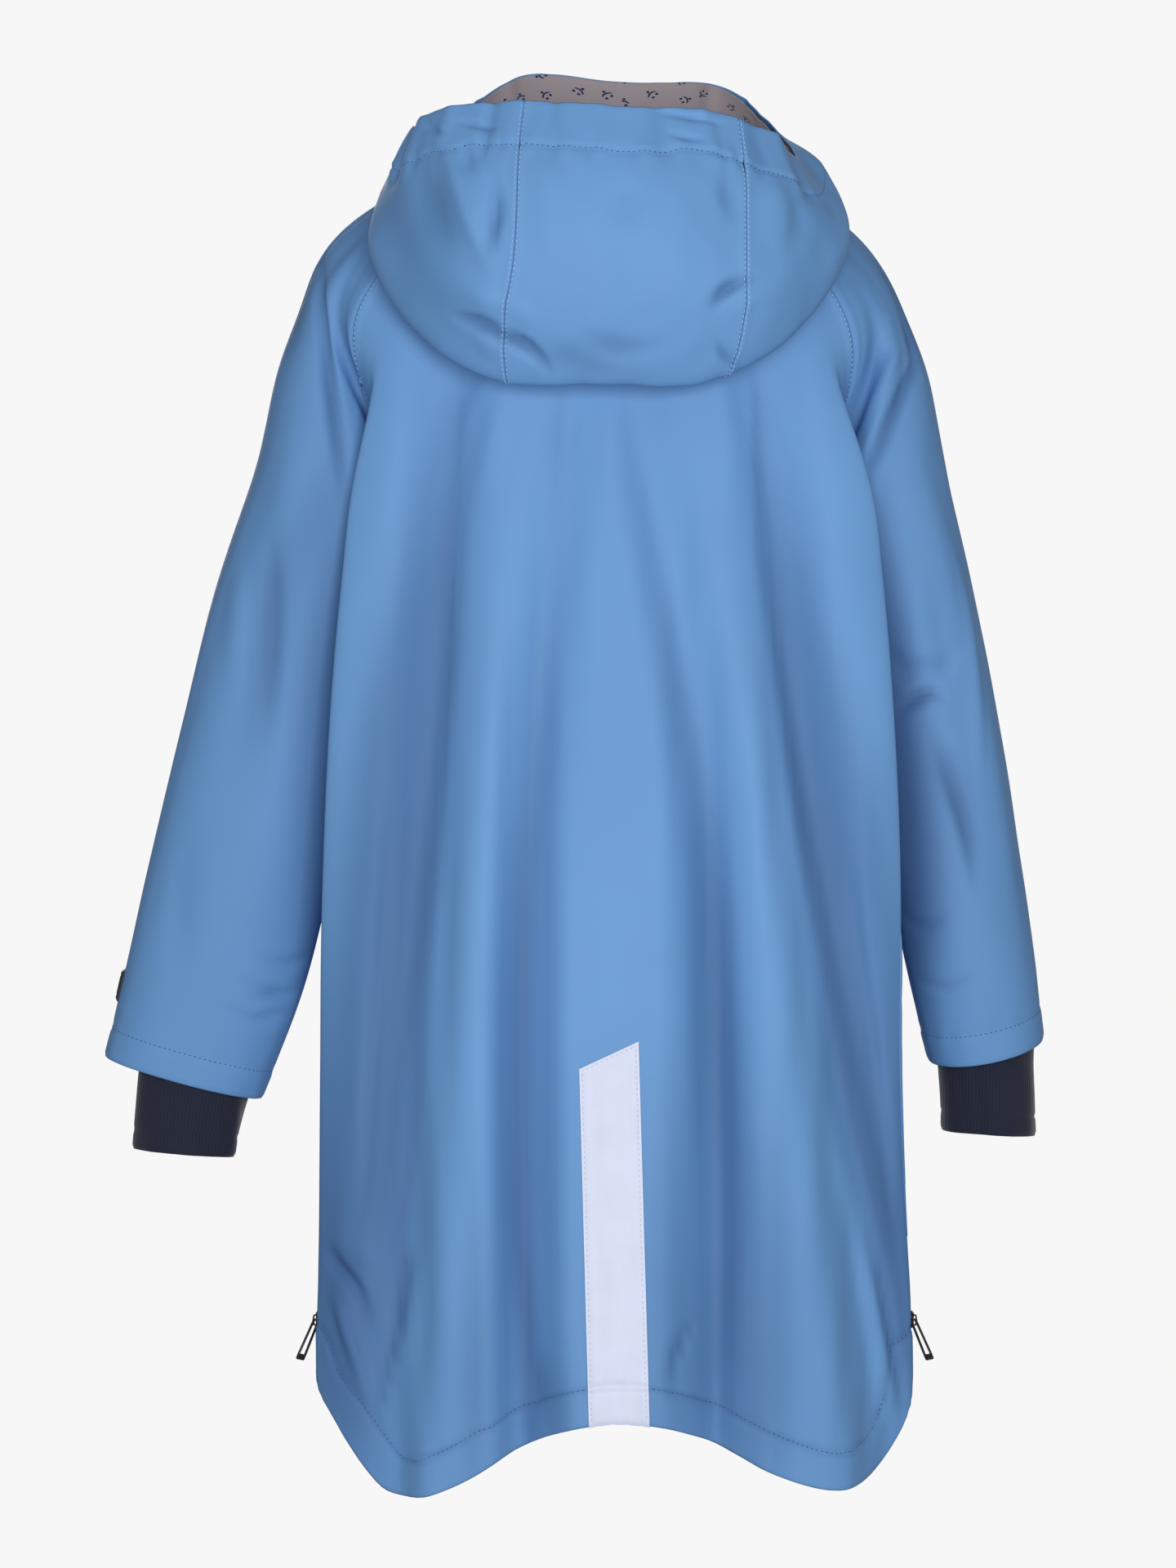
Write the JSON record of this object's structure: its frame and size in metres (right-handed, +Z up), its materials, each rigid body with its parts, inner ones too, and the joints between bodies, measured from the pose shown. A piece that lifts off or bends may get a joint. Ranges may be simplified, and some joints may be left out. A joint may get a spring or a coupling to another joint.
{
  "type": "hooded rain poncho",
  "caption": "Long hooded rain poncho with raglan sleeves, a three-piece hood thrown back, inner cuffs, side zips and a reflective strip.",
  "frame": {"origin": "middle of the neckline at shoulder height, where a wearer or hanger holds the garment up", "axes": "+Z up; the garment's front faces -Y and its back +Y; the wearer's left is +X; origin in the garment's middle plane"},
  "size_m": [0.686, 0.329, 1.0324],
  "materials": {
    "shell_blue": "matt coated plain weave",
    "lining_grey": "matt printed jersey",
    "cuff_navy": "matt rib knit",
    "tab_navy": "matt coated cloth",
    "strip_silver": "soft retroreflective",
    "zip_tape": "matt woven tape",
    "zip_metal": "satin black enamel"
  },
  "bodies": {
    "garment": {"back_panel": "shell_blue", "front_panel": "shell_blue", "sleeve_left": "shell_blue", "sleeve_right": "shell_blue", "hood_centre": "shell_blue", "hood_side_left": "shell_blue", "hood_side_right": "shell_blue", "hood_lining": "lining_grey", "cuff_left": "cuff_navy", "cuff_right": "cuff_navy", "sleeve_tab_left": "tab_navy", "sleeve_tab_right": "tab_navy", "reflective_strip": "strip_silver", "side_zip_left": "zip_tape", "side_zip_right": "zip_tape", "zip_slider_left": "zip_metal", "zip_slider_right": "zip_metal"},
    "pull_left": {"zip_pull_left": "zip_metal"},
    "pull_right": {"zip_pull_right": "zip_metal"}
  },
  "joints": [
    {"name": "pull_left_swing", "type": "hinge", "parent": "garment", "child": "pull_left", "pos_m": [0.21384, 0.02175, -0.80807], "axis": [0.5736, -0.8191, 0], "range_deg": [0, 115]},
    {"name": "pull_right_swing", "type": "hinge", "parent": "garment", "child": "pull_right", "pos_m": [-0.21784, 0.02174, -0.80809], "axis": [0.5736, 0.8191, 0], "range_deg": [0, 115]}
  ]
}
